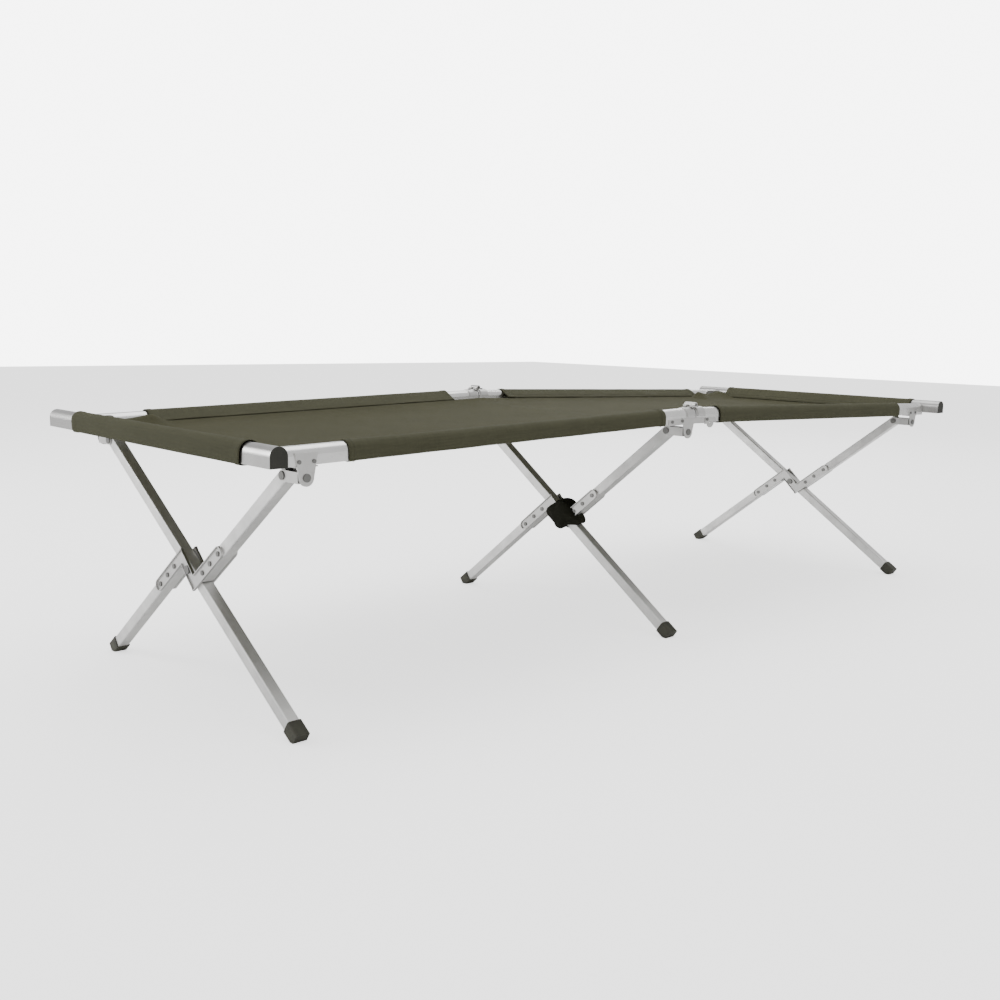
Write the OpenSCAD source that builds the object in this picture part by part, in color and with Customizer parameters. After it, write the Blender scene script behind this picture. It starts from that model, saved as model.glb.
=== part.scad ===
// Folding cot: hinged side rails, three crossed leg sets, two end bars and a canvas deck.
// +X is the near side, -Y the head end, +Z up; the floor is z = 0.

/* [Overall] */
// length over the outer faces of the two end bars
overall_l = 1900; // [1890:2:1920]
// width across the outer faces of the side rails
rails_w = 632; // [620:2:650]
// height of the rail crown at the middle hinge
crown_mid = 446.6; // [444:0.5:450]
// downward slope of each rail half from the hinge to its end, degrees
tilt = 1.363; // [1.2:0.05:1.5]

/* [Rails and bars] */
// width of a side rail
rail_w = 26; // [25:0.5:27]
// height of a side rail
rail_h = 27; // [26:0.5:28]
// wall of the rails, bars and leg tubes
wall = 1.5; // [1.2:0.1:1.8]
// width of an end bar
bar_w = 27; // [26:0.5:28]
// height of an end bar
bar_h = 29; // [28:0.5:30]
// length of an end bar
bar_l = 710; // [700:2:730]
// rise of the bar crown above the rail crown
bar_rise = 8; // [7:0.5:8.5]

/* [Legs] */
// width of the square leg tubes
tube_w = 20; // [19:0.5:20]
// sideways offset of each half tube from the pivot
half_off = 26; // [26:0.5:27]
// distance of the end leg sets from the middle of the cot
set_y = 870; // [860:1:875]
// distance of the middle leg set from the hinge, towards the head end
mid_y = 24; // [22:1:26]
// height of the pivot of the end leg sets
end_pivot_z = 201; // [200:0.5:202]
// height of the pivot of the middle leg set
mid_pivot_z = 212; // [211:0.5:213]
// distance of the top pins below the rails
pin_drop = 16.9; // [16.6:0.1:18]

/* [Canvas] */
// thickness of the canvas layers
canvas_t = 1.7; // [1.2:0.1:2]
// depth of the deck below the rail crown
deck_drop = 25; // [24:0.5:26]
// end of the side sleeves, from the middle
sleeve_end = 800; // [780:5:810]
// start of the side sleeves, from the middle
sleeve_start = 85; // [82:1:95]
// half length of the end sleeves
end_sleeve_half = 268; // [255:1:268]

/* [Hidden] */
$fn = 48;
rail_x = rails_w / 2 - rail_w / 2;
rail_in = rails_w / 2 - rail_w;
rail_out = rails_w / 2;
rail_gap = 1.5;
bar_in = overall_l / 2 - bar_w;
rail_len = (bar_in - 0.4) / cos(tilt);
bar_mid = overall_l / 2 - bar_w / 2;
pin_x = rail_x - 28;
sets_y = [-set_y, -mid_y, set_y];
pivots_z = [end_pivot_z, mid_pivot_z, end_pivot_z];
function crown(y) = crown_mid - abs(y) * tan(tilt);
function pin_z(i) = crown(sets_y[i]) - rail_h - pin_drop;
function rise(i) = pin_z(i) - pivots_z[i];
function lean(i) = atan2(rise(i), pin_x);
function arm(i) = sqrt(pin_x * pin_x + rise(i) * rise(i));
function split(i) = lean(i) + asin(half_off / arm(i));
function split_arm(i) = sqrt(arm(i) * arm(i) - half_off * half_off);
half_start = 25.5;
tube_past = 8;
long_y = 0.6;
tube_r = 2.2;
plate_t = 2;
plate_end = 114;
plate_rim = 2.5;
rim_t = 1.2;
rivet_s = [38, 68, 100];
rivet_r = 2.5;
bolt_r = 5;
pin_r = 4;
swing_r = 3.5;
fit = 0.05;
gap = 0.3;
shoe_half = 11.8;
shoe_over = 17;
shoe_past = 9.7;
shoe_wall = 8;
function long_foot(i) = (pivots_z[i] - shoe_half * cos(lean(i))) / sin(lean(i));
function half_foot(i) =
  (pivots_z[i] + (half_off - shoe_half) * cos(split(i))) / sin(split(i));
knuckle_in = 10.3;
knuckle_t = 1.7;
web_x = rail_x + 8.5;
knuckle_r = 8;
web_t = 2.5;
bracket_t = 2;
hinge_rise = 5.5;
barrel_r = 4.5;
hinge_r = 2.5;
leaf_t = 2;
leaf_end = 28;
seam_x = rail_in - 19.5;
deck_t = 2;
seam_y = bar_in - 18;

// helpers

// bullet-shaped bar along +Y with its crown at z = 0
module bullet(w, h, l) {
  translate([0, 0, -w / 2]) rotate([-90, 0, 0]) cylinder(d = w, h = l);
  translate([-w / 2, 0, -h]) cube([w, l, h - w / 2]);
}

// cylinder along Y, centred
module pin_y(r, l) { rotate([90, 0, 0]) cylinder(r = r, h = l, center = true); }

// cylinder along +X from x0
module pin_x_at(x0, r, l) { translate([x0, 0, 0]) rotate([0, 90, 0]) cylinder(r = r, h = l); }

// outline in the Y-Z plane pushed along +X
module prism_x(x0, t, pts) {
  translate([x0, 0, 0]) rotate([90, 0, 90]) linear_extrude(t) polygon(pts);
}

// outline in the X-Z plane pushed along Y from y0 to y0 + t
module prism_y(y0, t, pts) {
  translate([0, y0 + t, 0]) rotate([90, 0, 0]) linear_extrude(t) polygon(pts);
}

// one side (sx) and one end (sy) of the cot
module side(sx) { if (sx > 0) children(); else mirror([1, 0, 0]) children(); }
module end(sy) { if (sy > 0) children(); else mirror([0, 1, 0]) children(); }

// frame of a foot-end rail half: crown line along +Y
module rail_frame() { translate([0, 0, crown_mid]) rotate([-tilt, 0, 0]) children(); }

// square bar along +X with small corner radii
module square_bar(x0, x1, w, d, r) {
  translate([x0, -d / 2 + r, -w / 2]) cube([x1 - x0, d - 2 * r, w]);
  translate([x0, -d / 2, -w / 2 + r]) cube([x1 - x0, d, w - 2 * r]);
  for (sy = [-1, 1]) for (sz = [-1, 1])
    translate([x0, sy * (d / 2 - r), sz * (w / 2 - r)]) rotate([0, 90, 0])
      cylinder(r = r, h = x1 - x0);
}

// hollow square tube along +X
module square_tube(x0, x1, d) {
  difference() {
    square_bar(x0, x1, tube_w, d, tube_r);
    translate([x0 - 1, -d / 2 + wall, -tube_w / 2 + wall])
      cube([x1 - x0 + 2, d - 2 * wall, tube_w - 2 * wall]);
  }
}

// frames of a leg set: along the split leg (towards the near top) and along the long leg
// (towards the near foot)
module split_frame(i) {
  translate([0, sets_y[i], pivots_z[i]]) rotate([0, -split(i), 0]) children();
}
module long_frame(i) {
  translate([0, sets_y[i], pivots_z[i]]) rotate([0, lean(i), 0]) children();
}
module pin_frame(i) { translate([0, sets_y[i], pin_z(i)]) children(); }

// rails

module rail(sx, sy) {
  color([0.74, 0.75, 0.76]) side(sx) end(sy) rail_frame() translate([rail_x, rail_gap, 0])
    difference() {
      bullet(rail_w, rail_h, rail_len - rail_gap);
      translate([0, -1, -wall]) bullet(rail_w - 2 * wall, rail_h - 2 * wall, rail_len + 2);
    }
}

// saddle strap over the crown with its hinge barrels
module leaf_body() {
  difference() {
    translate([rail_x, 5.5, leaf_t]) bullet(rail_w + 2 * leaf_t, rail_h, leaf_end - 5.5);
    translate([rail_x, 0, 0]) bullet(rail_w, rail_h, leaf_end + 2);
    translate([rail_out - rail_w - 5, 0, -rail_w / 2 - 3 - rail_h])
      cube([rail_w + 10, leaf_end + 2, rail_h]);
  }
}

module barrel(x0, l) {
  difference() {
    union() {
      translate([0, 0, hinge_rise]) pin_x_at(x0, barrel_r, l);
      translate([x0, 0, 1]) cube([l, 9, hinge_rise - 1]);
    }
    translate([0, 0, hinge_rise]) pin_x_at(x0 - 1, hinge_r + fit, l + 2);
  }
}

module leaf(sx, sy) {
  color([0.70, 0.71, 0.72]) side(sx) end(sy) translate([0, 0, crown_mid]) {
    rotate([-tilt, 0, 0]) leaf_body();
    if (sy < 0) {
      barrel(rail_x - 12, 7.8);
      barrel(rail_x + 4.2, 7.8);
    } else barrel(rail_x - 4, 8);
  }
}

// plate on the outer face of a rail carrying the swing rivet of a leg knuckle
module leg_bracket(i) {
  top = crown(sets_y[i]) - (i == 1 ? 17.5 : 9);
  difference() {
    union() {
      prism_x(rail_out, bracket_t, [
        [abs(sets_y[i]) - 18.5, top], [abs(sets_y[i]) + 18.5, top],
        [abs(sets_y[i]) + 12, pin_z(i)], [abs(sets_y[i]) - 12, pin_z(i)]]);
      translate([0, abs(sets_y[i]), pin_z(i)]) pin_x_at(rail_out, 12, bracket_t);
      translate([rail_x - 3, abs(sets_y[i]) - 18.5, pin_z(i) + pin_drop - 2])
        cube([rail_w / 2 + 3 + bracket_t, 37, 1.5]);
    }
    translate([0, abs(sets_y[i]), pin_z(i)]) pin_x_at(rail_out - 1, swing_r, bracket_t + 2);
  }
}

// strip on the inner face of a rail end, beside the end bar
module end_plate() {
  rail_frame() translate([rail_in - 3.3, rail_len - 60, -24]) {
    translate([0, 10, 0]) cube([3.3, 49.5, 22]);
    translate([0, 10, 11]) pin_x_at(0, 11, 3.3);
  }
}

// ledge under the middle of a head rail, reaching under the foot rail
module middle_ledge() {
  rail_frame() {
    translate([rail_out, 1, -rail_h - 2]) cube([bracket_t, 82, 11]);
    translate([rail_in + 2, 1, -rail_h - 2]) cube([rail_w - 1, 82, 1.9]);
  }
}

module foot_ledge() {
  rail_frame() {
    translate([rail_out + gap, -1, -rail_h - 2.4]) cube([bracket_t - gap, 26, 11]);
    translate([rail_in + 2, -1, -rail_h - 2.4]) cube([rail_w - 1, 26, 2.1]);
  }
}

module hook_lug() {
  rail_frame() translate([0, 45, -rail_h - 1]) difference() {
    union() {
      translate([rail_out, -17, 0]) cube([bracket_t, 34, 9]);
      pin_x_at(rail_out, 10, bracket_t);
      translate([rail_out, -17, -3]) cube([bracket_t, 20, 4]);
    }
    pin_x_at(rail_out - 1, 2.2, bracket_t + 2);
  }
}

module brackets(sx, sy) {
  color([0.62, 0.63, 0.64]) side(sx) {
    end(sy) {
      if (sy < 0) leg_bracket(0);
      else leg_bracket(2);
      end_plate();
    }
    if (sy < 0) {
      end(-1) leg_bracket(1);
      end(-1) middle_ledge();
      foot_ledge();
    } else hook_lug();
  }
}

// swing rivet of a knuckle, with an outer and an inner head
module swing_rivet(i) {
  translate([0, abs(sets_y[i]), pin_z(i)]) {
    pin_x_at(web_x - 3, swing_r, rail_out + bracket_t - web_x + 4);
    pin_x_at(rail_out + bracket_t, 6, 1.5);
    pin_x_at(web_x - 4, 6.2, 2);
  }
}

module small_rivet() { pin_x_at(rail_out + bracket_t, 3, 1.4); }

module rail_rivets(sx, sy) {
  color([0.34, 0.34, 0.35]) side(sx) end(sy) {
    if (sy < 0) swing_rivet(0);
    else swing_rivet(2);
    for (dy = [-12, 12]) translate([0, set_y + dy, crown(set_y) - 21.5]) small_rivet();
    rail_frame() {
      for (dy = [-38, -18]) translate([0, rail_len + dy, -17])
        pin_x_at(rail_in - 4.5, 3, 1.2);
      translate([rail_x, 18, leaf_t]) cylinder(r = 3.5, h = 1.4);
    }
    if (sy < 0) {
      swing_rivet(1);
      rail_frame() for (y = [44, 74]) translate([0, y, -22]) small_rivet();
      translate([0, 0, crown_mid + hinge_rise]) pin_x_at(rail_x - 13, hinge_r, 26);
    } else rail_frame() translate([0, 34, -22]) small_rivet();
  }
}

// end bars

module bar_frame(sy) {
  end(sy) translate([-bar_l / 2, bar_mid, crown(bar_mid) + bar_rise]) rotate([0, 0, -90])
    children();
}

module bar(sy) {
  color([0.74, 0.75, 0.76]) bar_frame(sy) difference() {
    translate([0, 1, 0]) bullet(bar_w, bar_h, bar_l - 2);
    translate([0, -1, -wall]) bullet(bar_w - 2 * wall, bar_h - 2 * wall, bar_l + 2);
  }
}

module bar_plugs(sy) {
  color([0.09, 0.09, 0.07]) bar_frame(sy) {
    bullet(bar_w, bar_h, 0.95);
    translate([0, 0.9, -wall - fit])
      bullet(bar_w - 2 * wall - 2 * fit, bar_h - 2 * wall - 2 * fit, 14);
    translate([0, bar_l - 0.95, 0]) bullet(bar_w, bar_h, 0.95);
    translate([0, bar_l - 14.9, -wall - fit])
      bullet(bar_w - 2 * wall - 2 * fit, bar_h - 2 * wall - 2 * fit, 14);
  }
}

// leg sets

module bolt_holes(z) {
  for (s = rivet_s) translate([s, 0, z]) pin_y(rivet_r + fit, 60);
}

module upper_tube(i) {
  color([0.76, 0.77, 0.78]) split_frame(i) difference() {
    translate([0, 0, -half_off]) square_tube(half_start, split_arm(i) + tube_past, tube_w);
    bolt_holes(-half_off);
    translate([split_arm(i), 0, -half_off]) pin_y(pin_r + fit, 60);
  }
}

module lower_tube(i) {
  color([0.76, 0.77, 0.78]) split_frame(i) rotate([0, 180, 0]) difference() {
    translate([0, 0, -half_off])
      square_tube(half_start, half_foot(i) + shoe_past - shoe_wall, tube_w);
    bolt_holes(-half_off);
  }
}

module long_leg(i) {
  color([0.76, 0.77, 0.78]) long_frame(i) difference() {
    square_tube(-arm(i) - tube_past, long_foot(i) + shoe_past - shoe_wall, tube_w - long_y);
    pin_y(bolt_r + fit, 60);
    translate([-arm(i), 0, 0]) pin_y(pin_r + fit, 60);
  }
}

// one offset plate: two arms on the half tubes joined across the pivot, with raised rims
module plate_outline(t, inset) {
  r = 10 - inset;
  for (a = [0, 180]) rotate([0, a, 0]) {
    translate([0, 0, -half_off]) {
      translate([-r / 2, -t, -r]) cube([plate_end - 10 + r / 2, t, 2 * r]);
      translate([plate_end - 10, -t / 2, 0]) pin_y(r, t);
    }
  }
  prism_y(-t, t, [[-4 - r, half_off], [6 - inset, half_off], [4 + r, -half_off],
    [-6 + inset, -half_off]]);
}

module offset_plate() {
  difference() {
    translate([0, -tube_w / 2, 0]) plate_outline(plate_t + plate_rim, 0);
    translate([0, -tube_w / 2 - plate_t, 0]) plate_outline(plate_rim + 1, rim_t);
  }
}

module plates(i) {
  color([0.66, 0.67, 0.68]) split_frame(i) difference() {
    union() {
      offset_plate();
      mirror([0, 1, 0]) offset_plate();
    }
    pin_y(bolt_r + fit, 60);
    bolt_holes(-half_off);
    rotate([0, 180, 0]) bolt_holes(-half_off);
  }
}

// through rivet with a head on each plate
module plate_rivet() {
  pin_y(rivet_r, tube_w + 2 * plate_t + 2);
  for (sy = [-1, 1]) translate([0, sy * (tube_w / 2 + plate_t + 0.75), 0]) pin_y(4.2, 1.5);
}

module fasteners(i) {
  color([0.34, 0.34, 0.35]) split_frame(i) {
    for (a = [0, 180]) for (s = rivet_s)
      rotate([0, a, 0]) translate([s, 0, -half_off]) plate_rivet();
    pin_y(bolt_r, tube_w + 2 * plate_t + 2);
    for (sy = [-1, 1]) translate([0, sy * (tube_w / 2 + plate_t + 1.5), 0]) pin_y(7, 3);
    translate([split_arm(i), 0, -half_off]) top_pin();
  }
}

module top_pin() {
  pin_y(pin_r, 2 * (knuckle_in + knuckle_t) + 2.4);
  for (sy = [-1, 1]) translate([0, sy * (knuckle_in + knuckle_t + 1), 0]) pin_y(6.3, 1.6);
}

module far_pin(i) {
  color([0.34, 0.34, 0.35]) long_frame(i) translate([-arm(i), 0, 0]) top_pin();
}

module knuckle(i, sx) {
  color([0.66, 0.67, 0.68]) side(sx) pin_frame(i) difference() {
    union() {
      translate([web_x, -knuckle_in - knuckle_t, -knuckle_r])
        cube([web_t, 2 * (knuckle_in + knuckle_t), 2 * knuckle_r]);
      for (sy = [-1, 1]) translate([0, sy * (knuckle_in + knuckle_t / 2), 0]) {
        translate([pin_x, -knuckle_t / 2, -knuckle_r])
          cube([web_x - pin_x + 1, knuckle_t, 2 * knuckle_r]);
        translate([pin_x, 0, 0]) pin_y(knuckle_r, knuckle_t);
      }
    }
    translate([pin_x, 0, 0]) pin_y(pin_r + fit, 60);
    pin_x_at(web_x - 1, swing_r + fit, web_t + 2);
  }
}

module shoe(x1, d) {
  difference() {
    square_bar(x1 - shoe_over, x1 + shoe_past, 2 * shoe_half, 2 * shoe_half, 3);
    translate([x1 - shoe_over - 1, -d / 2 - fit, -tube_w / 2 - fit])
      cube([shoe_over + 1 + shoe_past - shoe_wall + fit, d + 2 * fit, tube_w + 2 * fit]);
  }
}

module below_floor() { translate([-500, -1000, -60]) cube([1000, 2000, 60]); }

module near_shoe(i) {
  color([0.09, 0.09, 0.07]) difference() {
    long_frame(i) shoe(long_foot(i), tube_w - long_y);
    below_floor();
  }
}

module far_shoe(i) {
  color([0.09, 0.09, 0.07]) difference() {
    split_frame(i) rotate([0, 180, 0]) translate([0, 0, -half_off])
      shoe(half_foot(i), tube_w);
    below_floor();
  }
}

// dark wrap over the front of the middle pivot
module mid_wrap() {
  color([0.08, 0.08, 0.06]) split_frame(1) difference() {
    translate([-27, -tube_w / 2 - plate_t - plate_rim - 6.3, -24]) cube([54, 6, 48]);
    translate([0, -tube_w / 2 - plate_t - plate_rim, 0]) pin_y(9, 4);
  }
}

// canvas

module side_sleeve(sx, sy) {
  l = (sleeve_end - sleeve_start);
  color([0.39, 0.38, 0.29]) side(sx) end(sy) rail_frame() difference() {
    union() {
      translate([rail_x, sleeve_start, gap + canvas_t])
        bullet(rail_w + 2 * (gap + canvas_t), rail_h + 2 * (gap + canvas_t), l);
      prism_y(sleeve_start, l, [[rail_in + 1, -8], [seam_x, -deck_drop],
        [seam_x, -deck_drop - deck_t], [rail_in + 1, -rail_h - 1]]);
    }
    translate([rail_x, sleeve_start - 1, gap])
      bullet(rail_w + 2 * gap, rail_h + 2 * gap, l + 2);
  }
}

module deck(sy) {
  color([0.39, 0.38, 0.29]) end(sy) rail_frame()
    translate([-seam_x + gap, 1, -deck_drop - deck_t])
      cube([2 * (seam_x - gap), seam_y - gap - 1, deck_t]);
}

module end_sleeve(sy) {
  c = bar_mid - seam_y;
  lift = crown(bar_mid) + bar_rise;
  low = crown(seam_y) - deck_drop - lift;
  color([0.33, 0.32, 0.24]) end(sy) translate([-end_sleeve_half, bar_mid, lift])
    rotate([0, 0, -90]) difference() {
      union() {
        translate([0, 0, gap + canvas_t]) bullet(bar_w + 2 * (gap + canvas_t),
          bar_h + 2 * (gap + canvas_t), 2 * end_sleeve_half);
        prism_y(0, 2 * end_sleeve_half, [[bar_w / 2, -12], [c, low],
          [c, low - deck_t], [bar_w / 2, -bar_h - 1]]);
      }
      translate([0, -1, gap])
        bullet(bar_w + 2 * gap, bar_h + 2 * gap, 2 * end_sleeve_half + 2);
    }
}

rail(1, -1);  // near_head_rail
rail(1, 1);  // near_foot_rail
rail(-1, -1);  // far_head_rail
rail(-1, 1);  // far_foot_rail
leaf(1, -1);  // near_head_leaf
leaf(1, 1);  // near_foot_leaf
leaf(-1, -1);  // far_head_leaf
leaf(-1, 1);  // far_foot_leaf
brackets(1, -1);  // near_head_brackets
brackets(1, 1);  // near_foot_brackets
brackets(-1, -1);  // far_head_brackets
brackets(-1, 1);  // far_foot_brackets
rail_rivets(1, -1);  // near_head_rivets
rail_rivets(1, 1);  // near_foot_rivets
rail_rivets(-1, -1);  // far_head_rivets
rail_rivets(-1, 1);  // far_foot_rivets
side_sleeve(1, -1);  // near_head_sleeve
side_sleeve(1, 1);  // near_foot_sleeve
side_sleeve(-1, -1);  // far_head_sleeve
side_sleeve(-1, 1);  // far_foot_sleeve
deck(-1);  // head_deck
deck(1);  // foot_deck
end_sleeve(-1);  // head_end_sleeve
end_sleeve(1);  // foot_end_sleeve
bar(-1);  // head_bar
bar(1);  // foot_bar
bar_plugs(-1);  // head_bar_plugs
bar_plugs(1);  // foot_bar_plugs
upper_tube(0);  // head_upper_tube
lower_tube(0);  // head_lower_tube
plates(0);  // head_plates
fasteners(0);  // head_fasteners
long_leg(0);  // head_long_leg
far_pin(0);  // head_far_pin
knuckle(0, 1);  // head_near_knuckle
knuckle(0, -1);  // head_far_knuckle
near_shoe(0);  // head_near_shoe
far_shoe(0);  // head_far_shoe
upper_tube(1);  // mid_upper_tube
lower_tube(1);  // mid_lower_tube
plates(1);  // mid_plates
fasteners(1);  // mid_fasteners
long_leg(1);  // mid_long_leg
far_pin(1);  // mid_far_pin
knuckle(1, 1);  // mid_near_knuckle
knuckle(1, -1);  // mid_far_knuckle
near_shoe(1);  // mid_near_shoe
far_shoe(1);  // mid_far_shoe
upper_tube(2);  // foot_upper_tube
lower_tube(2);  // foot_lower_tube
plates(2);  // foot_plates
fasteners(2);  // foot_fasteners
long_leg(2);  // foot_long_leg
far_pin(2);  // foot_far_pin
knuckle(2, 1);  // foot_near_knuckle
knuckle(2, -1);  // foot_far_knuckle
near_shoe(2);  // foot_near_shoe
far_shoe(2);  // foot_far_shoe
mid_wrap();
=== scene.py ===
# Folding cot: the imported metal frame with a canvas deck, rail and bar sleeves, and their finishes.
import math

import bmesh
import bpy
from mathutils import Matrix, Vector, noise


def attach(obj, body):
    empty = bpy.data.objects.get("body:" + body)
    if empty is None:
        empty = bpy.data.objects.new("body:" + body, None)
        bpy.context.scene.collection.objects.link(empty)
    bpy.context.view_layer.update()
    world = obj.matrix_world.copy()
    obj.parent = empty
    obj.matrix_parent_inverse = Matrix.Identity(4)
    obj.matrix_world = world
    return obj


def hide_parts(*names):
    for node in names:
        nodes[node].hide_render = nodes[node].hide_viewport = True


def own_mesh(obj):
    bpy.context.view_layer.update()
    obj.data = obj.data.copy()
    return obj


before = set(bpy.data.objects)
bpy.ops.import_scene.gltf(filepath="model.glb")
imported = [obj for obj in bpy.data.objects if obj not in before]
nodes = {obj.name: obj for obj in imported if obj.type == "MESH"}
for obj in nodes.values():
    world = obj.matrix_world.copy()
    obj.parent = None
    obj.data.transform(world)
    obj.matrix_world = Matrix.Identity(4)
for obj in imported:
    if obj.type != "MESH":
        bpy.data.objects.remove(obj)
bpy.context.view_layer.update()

# Real sizes in metres. The two halves are told apart by sy: -1 at the head, 1 at the foot.
TILT = math.radians(1.363)              # fall of each rail half from the middle hinge
CROWN = 0.4466                          # height of the rail's top at the hinge
RAIL_X, RAIL_W, RAIL_H = 0.303, 0.026, 0.027
BAR_Y, BAR_W, BAR_H, BAR_RISE = 0.9365, 0.027, 0.029, 0.008
SEAM_X, SEAM_Y = 0.2695, 0.9035         # where the deck meets the side and the end sleeves
SEAM_DROP, DECK_DROP = 0.0165, 0.0245   # seam and flat of the deck below the crown
SLEEVE_START, SLEEVE_END = {-1: 0.093, 1: 0.076}, 0.800
END_LO, END_HI = -0.254, 0.281          # reach of the end sleeves along the bar
CLOTH = 0.0010                          # thickness
SLACK = 0.0012                          # room between a sleeve and the metal in it
HEM = 0.0008                            # how much a hem stands proud
SAG = 0.007
HALF_GAP = 0.0002                       # between a deck half and the middle line
PITCH = 0.0045                          # of the stitches
SEAM_ROWS = (0.035, 0.095)              # rows along a sleeve, as shares of its wrap


# Camera and studio

def make_camera():
    az, pitch, roll = math.radians(46.55), math.radians(-9.374), math.radians(1.197)
    ahead = Vector((-math.sin(az) * math.cos(pitch), math.cos(az) * math.cos(pitch),
                    math.sin(pitch)))
    right = Vector((math.cos(az), math.sin(az), 0))
    up = right.cross(ahead)
    side = right * math.cos(roll) + up * math.sin(roll)
    top = up * math.cos(roll) - right * math.sin(roll)
    data = bpy.data.cameras.new("camera")
    data.lens, data.sensor_width = 39.6, 36
    data.shift_x, data.shift_y = 0.005, 0.008
    cam = bpy.data.objects.new("camera", data)
    bpy.context.scene.collection.objects.link(cam)
    m = Matrix((side, top, -ahead)).transposed().to_4x4()
    m.translation = Vector((1.5638, -1.6984, 0.5898))
    cam.matrix_world = m
    bpy.context.scene.camera = cam


def area_light(name, place, aim, size, power):
    data = bpy.data.lights.new(name, "AREA")
    data.shape, data.size, data.size_y = "RECTANGLE", size[0], size[1]
    data.energy = power
    light = bpy.data.objects.new(name, data)
    bpy.context.scene.collection.objects.link(light)
    light.location = place
    light.rotation_euler = (Vector(aim) - Vector(place)).to_track_quat("-Z", "Y").to_euler()


def make_stage():
    """White floor and sky, brighter to the camera than to the cot, and three area lights."""
    bm = bmesh.new()
    bmesh.ops.create_grid(bm, x_segments=1, y_segments=1, size=12)
    floor = mesh_object("floor", bm)
    floor.location.z = -0.0005
    mat, nt, shader = new_material("floor")
    shader.inputs["Base Color"].default_value = (0.93, 0.93, 0.93, 1)
    shader.inputs["Roughness"].default_value = 0.95
    shader.inputs["Specular IOR Level"].default_value = 0.1
    shader.inputs["Emission Color"].default_value = (1, 1, 1, 1)
    seen = node(nt, "ShaderNodeLightPath").outputs["Is Camera Ray"]
    put(nt, shader.inputs["Emission Strength"], maths(nt, "MULTIPLY", seen, 1.5))
    floor.data.materials.append(mat)
    world = bpy.data.worlds.new("studio")
    bpy.context.scene.world = world
    world.use_nodes = True
    nt = world.node_tree
    nt.nodes["Background"].inputs[0].default_value = (1, 1, 1, 1)
    seen = node(nt, "ShaderNodeLightPath").outputs["Is Camera Ray"]
    strength = maths(nt, "ADD", 0.80, maths(nt, "MULTIPLY", seen, 6.0))
    put(nt, nt.nodes["Background"].inputs[1], strength)
    area_light("key", (-0.3, 0.4, 3.4), (0, 0, 0.3), (3.4, 4.2), 90)
    area_light("left", (-2.4, -2.6, 1.3), (0, -0.3, 0.3), (1.2, 1.6), 46)
    area_light("rear", (-2.2, 3.2, 2.2), (0, 0.3, 0.3), (2.0, 1.2), 20)


# Helpers

def mesh_object(name, bm):
    bmesh.ops.recalc_face_normals(bm, faces=bm.faces)
    data = bpy.data.meshes.new(name)
    bm.to_mesh(data)
    bm.free()
    obj = bpy.data.objects.new(name, data)
    bpy.context.scene.collection.objects.link(obj)
    return obj


def smooth(obj):
    for p in obj.data.polygons:
        p.use_smooth = True


def new_material(name):
    mat = bpy.data.materials.new(name)
    mat.use_nodes = True
    nt = mat.node_tree
    return mat, nt, nt.nodes["Principled BSDF"]


def node(nt, kind, **values):
    n = nt.nodes.new(kind)
    for k, v in values.items():
        setattr(n, k, v)
    return n


def put(nt, socket, value):
    if isinstance(value, bpy.types.NodeSocket):
        nt.links.new(value, socket)
    else:
        socket.default_value = value


def maths(nt, op, a, b=0.0, c=0.0):
    n = node(nt, "ShaderNodeMath", operation=op)
    for socket, value in zip(n.inputs, (a, b, c)):
        put(nt, socket, value)
    return n.outputs[0]


def mix(nt, factor, a, b):
    n = node(nt, "ShaderNodeMix", data_type="RGBA")
    put(nt, n.inputs[0], factor)
    put(nt, n.inputs[6], a)
    put(nt, n.inputs[7], b)
    return n.outputs[2]


def noise_tex(nt, vector, scale, detail=3.0, rough=0.5):
    n = node(nt, "ShaderNodeTexNoise")
    nt.links.new(vector, n.inputs["Vector"])
    n.inputs["Scale"].default_value = scale
    n.inputs["Detail"].default_value = detail
    n.inputs["Roughness"].default_value = rough
    return n.outputs["Fac"]


def stretch(nt, vector, turn, scale):
    n = node(nt, "ShaderNodeMapping")
    nt.links.new(vector, n.inputs["Vector"])
    n.inputs["Rotation"].default_value = turn
    n.inputs["Scale"].default_value = scale
    return n.outputs[0]


def ramp(nt, value, lo, hi, out_lo=0.0, out_hi=1.0):
    n = node(nt, "ShaderNodeMapRange")
    for i, v in enumerate((value, lo, hi, out_lo, out_hi)):
        put(nt, n.inputs[i], v)
    return n.outputs[0]


def group(name, inputs, outputs):
    g = bpy.data.node_groups.new(name, "ShaderNodeTree")
    for n, kind in inputs:
        g.interface.new_socket(n, in_out="INPUT", socket_type=kind)
    for n, kind in outputs:
        g.interface.new_socket(n, in_out="OUTPUT", socket_type=kind)
    return g, g.nodes.new("NodeGroupInput"), g.nodes.new("NodeGroupOutput")


def use(nt, g, **values):
    n = node(nt, "ShaderNodeGroup", node_tree=g)
    for k, v in values.items():
        put(nt, n.inputs[k], v)
    return n


# Shared effects

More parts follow.
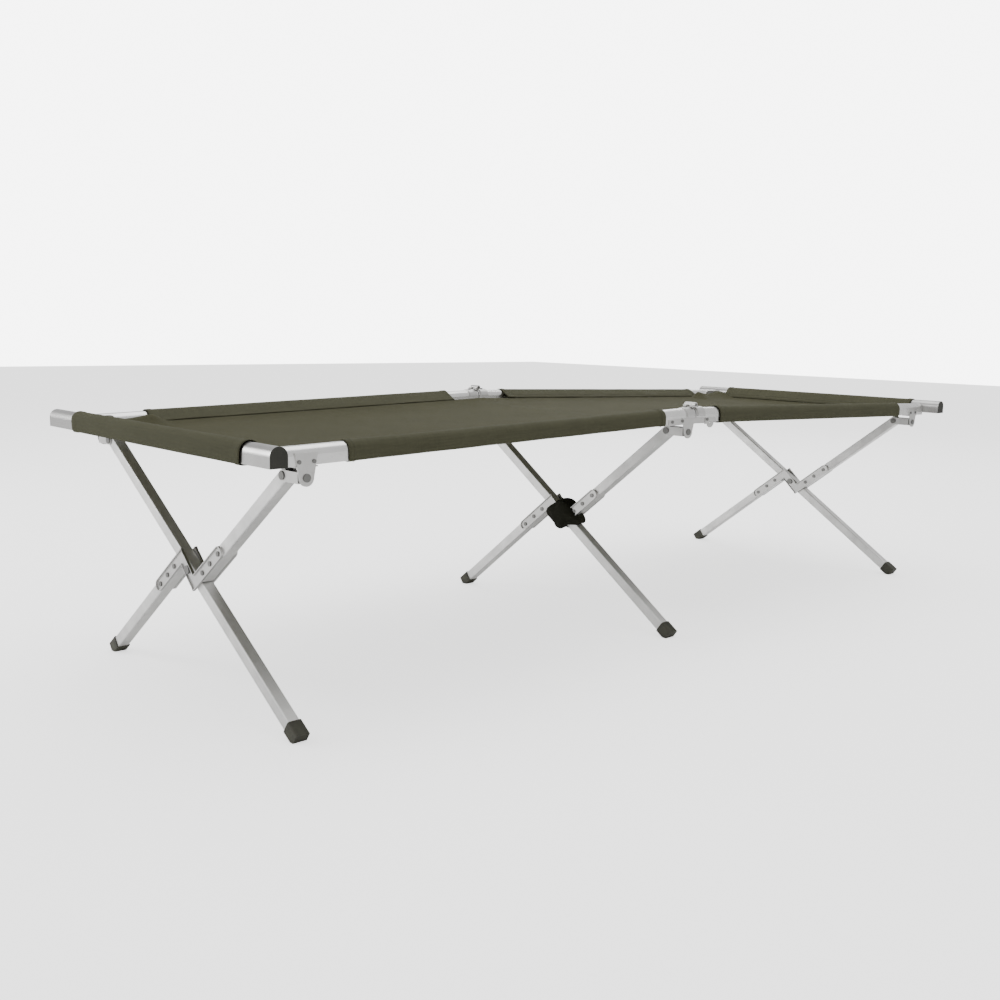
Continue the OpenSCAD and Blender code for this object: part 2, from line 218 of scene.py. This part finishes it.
def metal_effect():
    """Drawn lines along one direction, handling scratches, smudges and worn edges."""
    g, gi, go = group("metal surface",
                      [("Vector", "NodeSocketVector"), ("Lines", "NodeSocketVector")],
                      [("Lines", "NodeSocketFloat"), ("Smudge", "NodeSocketFloat"),
                       ("Edge", "NodeSocketFloat"), ("Height", "NodeSocketFloat")])
    lines = noise_tex(g, gi.outputs["Lines"], 1.0, 4.0, 0.65)
    smudge = noise_tex(g, gi.outputs["Vector"], 22.0, 4.0, 0.6)
    marks = ramp(g, noise_tex(g, gi.outputs["Vector"], 260.0, 2.0), 0.62, 0.72)
    bevel = node(g, "ShaderNodeBevel", samples=3)
    bevel.inputs["Radius"].default_value = 0.0011
    geo = node(g, "ShaderNodeNewGeometry")
    dot = node(g, "ShaderNodeVectorMath", operation="DOT_PRODUCT")
    g.links.new(bevel.outputs[0], dot.inputs[0])
    g.links.new(geo.outputs["Normal"], dot.inputs[1])
    edge = ramp(g, dot.outputs["Value"], 0.995, 0.8)
    edge = maths(g, "MULTIPLY", edge, ramp(g, smudge, 0.35, 0.6))
    height = maths(g, "ADD", maths(g, "MULTIPLY", lines, 0.6), maths(g, "MULTIPLY", marks, -0.5))
    for name, value in (("Lines", lines), ("Smudge", smudge), ("Edge", edge),
                        ("Height", height)):
        g.links.new(value, go.inputs[name])
    return g


def weave_effect():
    """Plain weave: threads both ways at the given pitch, slubs and a worn bloom."""
    g, gi, go = group("plain weave",
                      [("Vector", "NodeSocketVector"), ("Pitch", "NodeSocketFloat")],
                      [("Height", "NodeSocketFloat"), ("Slub", "NodeSocketFloat"),
                       ("Bloom", "NodeSocketFloat")])
    sep = node(g, "ShaderNodeSeparateXYZ")
    g.links.new(gi.outputs["Vector"], sep.inputs[0])
    per = maths(g, "DIVIDE", math.pi, gi.outputs["Pitch"])
    u = maths(g, "MULTIPLY", sep.outputs[0], per)
    v = maths(g, "MULTIPLY", sep.outputs[1], per)
    warp = maths(g, "ABSOLUTE", maths(g, "SINE", u))
    weft = maths(g, "ABSOLUTE", maths(g, "SINE", v))
    turn = maths(g, "SINE", maths(g, "ADD", maths(g, "MULTIPLY", u, 0.5),
                                  maths(g, "MULTIPLY", v, 0.5)))
    over = ramp(g, turn, -0.4, 0.4)
    height = maths(g, "ADD", maths(g, "MULTIPLY", warp, over),
                   maths(g, "MULTIPLY", weft, maths(g, "SUBTRACT", 1.0, over)))
    long_way = stretch(g, gi.outputs["Vector"], (0, 0, 0), (420, 16, 1))
    cross_way = stretch(g, gi.outputs["Vector"], (0, 0, 0), (16, 420, 1))
    slub = maths(g, "MULTIPLY", maths(g, "ADD", noise_tex(g, long_way, 1.0, 2.0),
                                      noise_tex(g, cross_way, 1.0, 2.0)), 0.5)
    bloom = noise_tex(g, gi.outputs["Vector"], 9.0, 5.0, 0.6)
    for name, value in (("Height", height), ("Slub", slub), ("Bloom", bloom)):
        g.links.new(value, go.inputs[name])
    return g


# Materials

def rgba(base, share=1.0):
    return tuple(c * share for c in base) + (1,)


def bump(nt, shader, height, distance, strength=1.0):
    b = node(nt, "ShaderNodeBump")
    b.inputs["Distance"].default_value = distance
    b.inputs["Strength"].default_value = strength
    nt.links.new(height, b.inputs["Height"])
    nt.links.new(b.outputs[0], shader.inputs["Normal"])


def metal(name, g, base, rough, turn, along, dark=0.8, depth=0.00002):
    """Drawn metal: turn lays the mapping's x axis along the lines, along sets their spacing."""
    mat, nt, shader = new_material(name)
    where = node(nt, "ShaderNodeTexCoord").outputs["Object"]
    lines = stretch(nt, where, turn, (3.0, along, along))
    fx = use(nt, g, Vector=where, Lines=lines)
    worn = [min(1, c * 1.12) for c in base]
    shade = mix(nt, ramp(nt, fx.outputs["Smudge"], 0.3, 0.7), rgba(base), rgba(base, dark))
    shade = mix(nt, maths(nt, "MULTIPLY", fx.outputs["Edge"], 0.7), shade, (*worn, 1))
    nt.links.new(shade, shader.inputs["Base Color"])
    r = maths(nt, "ADD", ramp(nt, fx.outputs["Smudge"], 0.3, 0.7, rough - 0.03, rough + 0.04),
              maths(nt, "MULTIPLY", maths(nt, "SUBTRACT", fx.outputs["Lines"], 0.5), 0.16))
    nt.links.new(r, shader.inputs["Roughness"])
    shader.inputs["Metallic"].default_value = 1.0
    bump(nt, shader, fx.outputs["Height"], depth)
    return mat


def rubber(name, base):
    """Fine grained moulding, dusty and scuffed near the floor."""
    mat, nt, shader = new_material(name)
    where = node(nt, "ShaderNodeTexCoord").outputs["Object"]
    fine = noise_tex(nt, where, 900.0, 4.0, 0.6)
    dust = ramp(nt, noise_tex(nt, where, 45.0, 4.0, 0.6), 0.4, 0.75)
    sep = node(nt, "ShaderNodeSeparateXYZ")
    nt.links.new(where, sep.inputs[0])
    low = ramp(nt, sep.outputs[2], 0.03, 0.0)
    scuff = maths(nt, "MULTIPLY", dust, maths(nt, "ADD", 0.25, maths(nt, "MULTIPLY", low, 0.5)))
    nt.links.new(mix(nt, scuff, rgba(base), rgba(base, 2.6)), shader.inputs["Base Color"])
    nt.links.new(ramp(nt, fine, 0.3, 0.7, 0.5, 0.72), shader.inputs["Roughness"])
    bump(nt, shader, fine, 0.00012)
    return mat


def canvas(name, g, base, pitch=0.0009, fade=1.0):
    """Woven cloth with painted shade in the gaps between the threads and a pale bloom of wear."""
    mat, nt, shader = new_material(name)
    where = node(nt, "ShaderNodeUVMap", uv_map="cloth").outputs[0]
    fx = use(nt, g, Vector=where, Pitch=pitch)
    shade = mix(nt, ramp(nt, fx.outputs["Slub"], 0.35, 0.65), rgba(base, 0.80), rgba(base, 1.16))
    shade = mix(nt, ramp(nt, fx.outputs["Bloom"], 0.42, 0.72, 0.0, 0.35 * fade), shade,
                (base[0] * 1.35, base[1] * 1.33, base[2] * 1.4, 1))
    # Painted shade: between the threads the colour falls to 0.55 of the base.
    painted_gap_shade = mix(nt, ramp(nt, fx.outputs["Height"], 0.15, 0.7), rgba(base, 0.55), shade)
    nt.links.new(painted_gap_shade, shader.inputs["Base Color"])
    nt.links.new(ramp(nt, fx.outputs["Slub"], 0.3, 0.7, 0.66, 0.84), shader.inputs["Roughness"])
    shader.inputs["Specular IOR Level"].default_value = 0.07
    slub = maths(nt, "MULTIPLY", fx.outputs["Slub"], 1.5)
    bump(nt, shader, maths(nt, "ADD", fx.outputs["Height"], slub), 0.00018, 0.8)
    return mat


def thread(base):
    mat, nt, shader = new_material("thread")
    where = node(nt, "ShaderNodeTexCoord").outputs["Object"]
    ply = noise_tex(nt, where, 2200.0, 2.0)
    nt.links.new(mix(nt, ply, rgba(base), rgba(base, 1.7)), shader.inputs["Base Color"])
    shader.inputs["Roughness"].default_value = 0.6
    bump(nt, shader, ply, 0.0001)
    return mat


# Cloth shapes

def rail_point(sy, x, y, z):
    """A point in the frame of a rail half: y from the hinge, z above the crown line."""
    return Vector((x, sy * (y * math.cos(TILT) + z * math.sin(TILT)),
                   CROWN - y * math.sin(TILT) + z * math.cos(TILT)))


def teardrop(centre, width, height, seam, crown):
    """Section of a sleeve: from the seam up over the crown, round the metal and back."""
    r = width / 2 + SLACK
    cz = crown - width / 2
    d = Vector((seam[0] - centre, seam[1] - cz))
    start = math.atan2(d.y, d.x) % (2 * math.pi) - math.acos(r / d.length)
    pts = [Vector(seam)]
    for i in range(15):
        a = start * (1 - i / 14)
        pts.append(Vector((centre + r * math.cos(a), cz + r * math.sin(a))))
    low = crown - height - SLACK
    pts += [Vector((centre + r, low + 0.003)), Vector((centre + r - 0.0009, low + 0.0009)),
            Vector((centre + r - 0.003, low)), Vector((centre - width / 2 + 0.002, low)),
            Vector((seam[0], seam[1] - 0.0022))]
    return pts


def path_length(pts):
    return sum((b - a).length for a, b in zip(pts, pts[1:]))


def along_path(pts, share):
    """Point, outward normal and length at a share of a 2-D path."""
    steps = [(b - a).length for a, b in zip(pts, pts[1:])]
    total = sum(steps)
    want = share * total
    for a, b, s in zip(pts, pts[1:], steps):
        if want <= s or b is pts[-1]:
            t = (b - a) / s
            return a + t * min(want, s), Vector((-t.y, t.x)), share * total
        want -= s


def cloth_grid(name, nu, nv, place, material):
    """A grid laid by place(u, v), which gives a point and its place on the flat cloth."""
    bm = bmesh.new()
    bmesh.ops.create_grid(bm, x_segments=nu, y_segments=nv, size=0.5)
    uv = bm.loops.layers.uv.new("cloth")
    laid = {}
    for v in bm.verts:
        laid[v] = place(v.co.x + 0.5, v.co.y + 0.5)
    for f in bm.faces:
        for loop in f.loops:
            loop[uv].uv = laid[loop.vert][1]
    for v in bm.verts:
        v.co = laid[v][0]
    bmesh.ops.recalc_face_normals(bm, faces=bm.faces)
    bmesh.ops.solidify(bm, geom=bm.faces[:], thickness=CLOTH)
    obj = mesh_object(name, bm)
    obj.data.materials.append(material)
    smooth(obj)
    return obj


def crease(p, seed, scale, size):
    return noise.noise(Vector((p[0] * scale[0], p[1] * scale[1], seed))) * size


def hem(edge):
    """Stands proud within the hem's width of an edge."""
    return HEM * max(0.0, min(1.0, (0.014 - edge) / 0.002))


def side_sleeve(name, sx, sy, mat):
    pts = teardrop(RAIL_X, RAIL_W, RAIL_H, (SEAM_X, -SEAM_DROP), 0.0)

    def place(u, v):
        p, n, s = along_path(pts, v)
        under = max(0.0, v - 0.62)
        a, b = SLEEVE_START[sy] + 0.012 * under, SLEEVE_END - 0.022 * under
        y = a + (b - a) * u
        free = max(0.0, 1 - v / 0.25) + 0.25
        swell = hem(min(y - a, b - y))
        swell += crease((y, s), 3.1 + sx + 2 * sy, (16, 40), 0.0009) * free
        q = p + n * swell
        return rail_point(sy, sx * q.x, y, q.y), (y, s)

    obj = cloth_grid(name, 150, 44, place, mat)
    return obj, path_length(pts), place


def end_sleeve(name, sy, mat):
    crown = CROWN - math.tan(TILT) * BAR_Y + BAR_RISE
    seam_z = CROWN - math.tan(TILT) * SEAM_Y - SEAM_DROP
    pts = teardrop(BAR_Y, BAR_W, BAR_H, (SEAM_Y, seam_z), crown)

    def place(u, v):
        p, n, s = along_path(pts, v)
        over = 0.005 * math.sin(math.pi * min(1.0, v * 1.6))
        a, b = END_LO - over, END_HI + over * 0.6
        x = a + (b - a) * u
        free = max(0.0, 1 - v / 0.3) + 0.25
        swell = hem(min(x - a, b - x))
        swell += crease((x, s), 8.4 + sy, (14, 40), 0.0008) * free
        q = p + n * swell
        return Vector((x, sy * q.x, q.y)), (x, s)

    obj = cloth_grid(name, 110, 44, place, mat)
    return obj, path_length(pts), place


def ease(t):
    t = max(0.0, min(1.0, t))
    return t * t * (3 - 2 * t)


def deck_height(x, y, sy):
    """Curve down from the seams, sag between the rails and long pulls from the corners."""
    side, last = SEAM_X - abs(x), SEAM_Y - y
    dip = (DECK_DROP - SEAM_DROP) * (1 - math.exp(-side / 0.022)) * (1 - math.exp(-last / 0.022))
    inward = 1 - (x / SEAM_X) ** 2
    hold = ease(side / 0.07) * ease(last / 0.15)
    sag = SAG * inward * (1 - (y / SEAM_Y) ** 2)
    past = max(0.0, min(1.0, (y - SLEEVE_END) / (SEAM_Y - SLEEVE_END)))
    corner = ease((y - SLEEVE_END + 0.03) / 0.04) * ease(1 - side / 0.05)
    corner *= 0.006 + 0.008 * (2 * past - 1) ** 2
    pull = noise.noise(Vector(((abs(x) + 0.6 * y) * 6.0, (y - abs(x)) * 1.6, 2.0 + sy)))
    pull *= ease(y / 0.12)
    long_fold = noise.noise(Vector((x * 9.0, sy * y * 2.2, 5.5)))
    return corner - dip - sag + hold * (0.0026 * pull + 0.0016 * long_fold)


def deck(name, sy, mat):
    """One half of the bed; its free edges past the side sleeves are hemmed."""
    def place(u, v):
        y = HALF_GAP + (SEAM_Y + 0.0018) * v
        wide = SEAM_X + 0.002 + 0.010 * ease((y - SLEEVE_END) / 0.03)
        x = wide * (2 * u - 1)
        z = -SEAM_DROP - 0.0009 + deck_height(max(-SEAM_X, min(SEAM_X, x)), min(y, SEAM_Y), sy)
        if y > SLEEVE_END:
            z += 0.0009 * max(0.0, min(1.0, (0.016 - wide + abs(x)) / 0.002))
        return rail_point(sy, x, y, z), (x, y)

    return cloth_grid(name, 120, 150, place, mat)


def stitches(name, places, mat, size=(0.0028, 0.0006, 0.0005)):
    """Short threads laid at each (point, direction, normal)."""
    bm = bmesh.new()
    for p, along, up in places:
        across = up.cross(along).normalized()
        turn = Matrix((along.normalized(), across, up)).transposed().to_4x4()
        m = Matrix.Translation(p) @ turn @ Matrix.Diagonal((*size, 1))
        bmesh.ops.create_cube(bm, size=1.0, matrix=m)
    obj = mesh_object(name, bm)
    obj.data.materials.append(mat)
    return obj


def row(place, length, fixed_v=None, fixed_u=None, skip=0.0):
    """Stitch places along a cloth grid at one share across it, or at one share along it."""
    out = []
    count = int(length / PITCH)
    h = 0.002
    for i in range(count):
        t = skip + (1 - 2 * skip) * (i + 0.5) / count
        if fixed_v is not None:
            p, q, r = place(t, fixed_v)[0], place(t + h, fixed_v)[0], place(t, fixed_v + h)[0]
        else:
            p, q, r = place(fixed_u, t)[0], place(fixed_u, t + h)[0], place(fixed_u + h, t)[0]
        along, other = (q - p).normalized(), (r - p).normalized()
        out.append((p, along, along.cross(other).normalized()))
    return out


def lifted(places, away_from):
    """Turns each stitch's normal away from the core and lifts it onto the cloth."""
    lift = CLOTH * 0.5
    out = []
    for p, along, up in places:
        if up.dot(p - away_from(p)) < 0:
            up = -up
        out.append((p + up * lift, along, up))
    return out


def sewn(name, place, length, total, ends, core, mat):
    """Two rows along a sleeve and one round each of its hems."""
    lines = []
    for v in SEAM_ROWS:
        lines += row(place, length, fixed_v=v)
    for u in ends:
        lines += row(place, total * 0.9, fixed_u=u, skip=0.05)
    return stitches(name, lifted(lines, core), mat)


def ride_and_fold(obj, end):
    """Goes with the near rail, on a mesh of its own."""
    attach(obj, "near_" + end)
    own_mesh(obj)


def dress_canvas(top, band, threads):
    for sy, end in ((-1, "head"), (1, "foot")):
        d = deck(end + "_deck_cloth", sy, top)
        ride_and_fold(d, end)
        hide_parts(end + "_deck")
        e, total, place = end_sleeve(end + "_bar_sleeve_cloth", sy, band)
        ride_and_fold(e, end)
        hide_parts(end + "_end_sleeve")
        core = lambda p, k=sy: Vector((p.x, k * BAR_Y, 0.41))
        s = sewn(end + "_bar_sleeve_stitching", place, END_HI - END_LO, total, (0.018, 0.982),
                 core, threads)
        ride_and_fold(s, end)
        for sx, flank in ((1, "near"), (-1, "far")):
            body = "%s_%s" % (flank, end)
            length = SLEEVE_END - SLEEVE_START[sy]
            c, total, place = side_sleeve(body + "_sleeve_cloth", sx, sy, band)
            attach(c, body)
            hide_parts(body + "_sleeve")
            core = lambda p, k=sx: Vector((k * RAIL_X, p.y, CROWN - abs(p.y) * math.tan(TILT)
                                           - 0.014))
            s = sewn(body + "_sleeve_stitching", place, length, total, (0.014, 0.986), core,
                     threads)
            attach(s, body)


def pivot_wrap(mat):
    """Dark cloth bound round the middle pivot, twisted into folds, with a small free flap."""
    centre, radius, depth = Vector((0.013, -0.027, 0.206)), 0.034, 0.0225
    bm = bmesh.new()
    bmesh.ops.create_uvsphere(bm, u_segments=96, v_segments=48, radius=1.0)
    uv = bm.loops.layers.uv.new("cloth")
    for f in bm.faces:
        for loop in f.loops:
            p = loop.vert.co
            loop[uv].uv = (0.03 * math.atan2(p.z, p.x), 0.03 * math.asin(max(-1, min(1, p.y))))
    for v in bm.verts:
        p = v.co.copy()
        ang = math.atan2(p.z, p.x)
        rim = math.sqrt(max(0.0, 1 - p.y * p.y))
        twist = ang + 1.1 * p.y
        fold = 0.055 * math.sin(5 * twist) + 0.06 * noise.noise(Vector((2.2 * math.cos(twist),
                                                2.2 * math.sin(twist), p.y * 1.5)))
        box = 1 + 0.12 * math.cos(4 * ang + 0.6)
        r = (rim ** 0.45) * radius * box * (1 + fold)
        y = depth * (abs(p.y) ** 0.8) * (1 if p.y > 0 else -1) * (1 + 0.5 * fold)
        tail = max(0.0, math.cos(ang + 0.35)) ** 14 * rim
        v.co = centre + Vector((1.12 * r * math.cos(ang) + 0.013 * tail, y * (1 - 0.6 * tail),
                                0.84 * r * math.sin(ang) - 0.003 * tail))
    obj = mesh_object("pivot_wrap", bm)
    obj.data.materials.append(mat)
    smooth(obj)
    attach(obj, "mid_split_leg")
    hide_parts("mid_wrap")


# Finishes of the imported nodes

def finish_nodes(g):
    bright, grey, steel = (0.88, 0.875, 0.86), (0.64, 0.635, 0.62), (0.24, 0.238, 0.23)
    along_y = metal("rail aluminium", g, bright, 0.26, (0, 0, math.pi / 2), 900)
    # Painted shade: the bars get a darker copy of the rail aluminium so their faces look shaded.
    along_x = metal("bar aluminium with painted shade", g, (0.50, 0.495, 0.485), 0.30, (0, 0, 0), 900)
    split = metal("half leg aluminium", g, bright, 0.52, (0, math.radians(38.0), 0), 900)
    long_leg = metal("long leg aluminium", g, bright, 0.52, (0, math.radians(-33.8), 0), 900)
    stamped = metal("stamped steel", g, grey, 0.36, (0, 0, 0), 60, 0.86, 0.00004)
    rivet = metal("rivet steel", g, steel, 0.40, (0, 0, 0), 400, 0.7, 0.00004)
    shoe = rubber("shoe rubber", (0.032, 0.032, 0.021))
    plug = rubber("plug plastic", (0.014, 0.014, 0.009))
    by_ending = (("_rail", along_y), ("_bar", along_x), ("_tube", split), ("_long_leg", long_leg),
                 (("_rivets", "_fasteners", "_pin"), rivet), ("_plugs", plug), ("_shoe", shoe))
    for name, obj in nodes.items():
        fits = [mat for ending, mat in by_ending if name.endswith(ending)]
        obj.data.materials.clear()
        obj.data.materials.append(fits[0] if fits else stamped)


make_camera()
make_stage()
metal_group, weave_group = metal_effect(), weave_effect()
finish_nodes(metal_group)
top_cloth = canvas("deck canvas", weave_group, (0.066, 0.065, 0.036))
# Painted light: the sleeves use a lighter, bluer copy of the deck canvas to stand in for light on
# their shaded sides.
sleeve_cloth_painted_light = canvas("sleeve canvas with painted light", weave_group, (0.078, 0.078, 0.048))
wrap_cloth = canvas("wrap cloth", weave_group, (0.021, 0.021, 0.014), 0.0012, 0.5)
dress_canvas(top_cloth, sleeve_cloth_painted_light, thread((0.050, 0.049, 0.028)))
pivot_wrap(wrap_cloth)
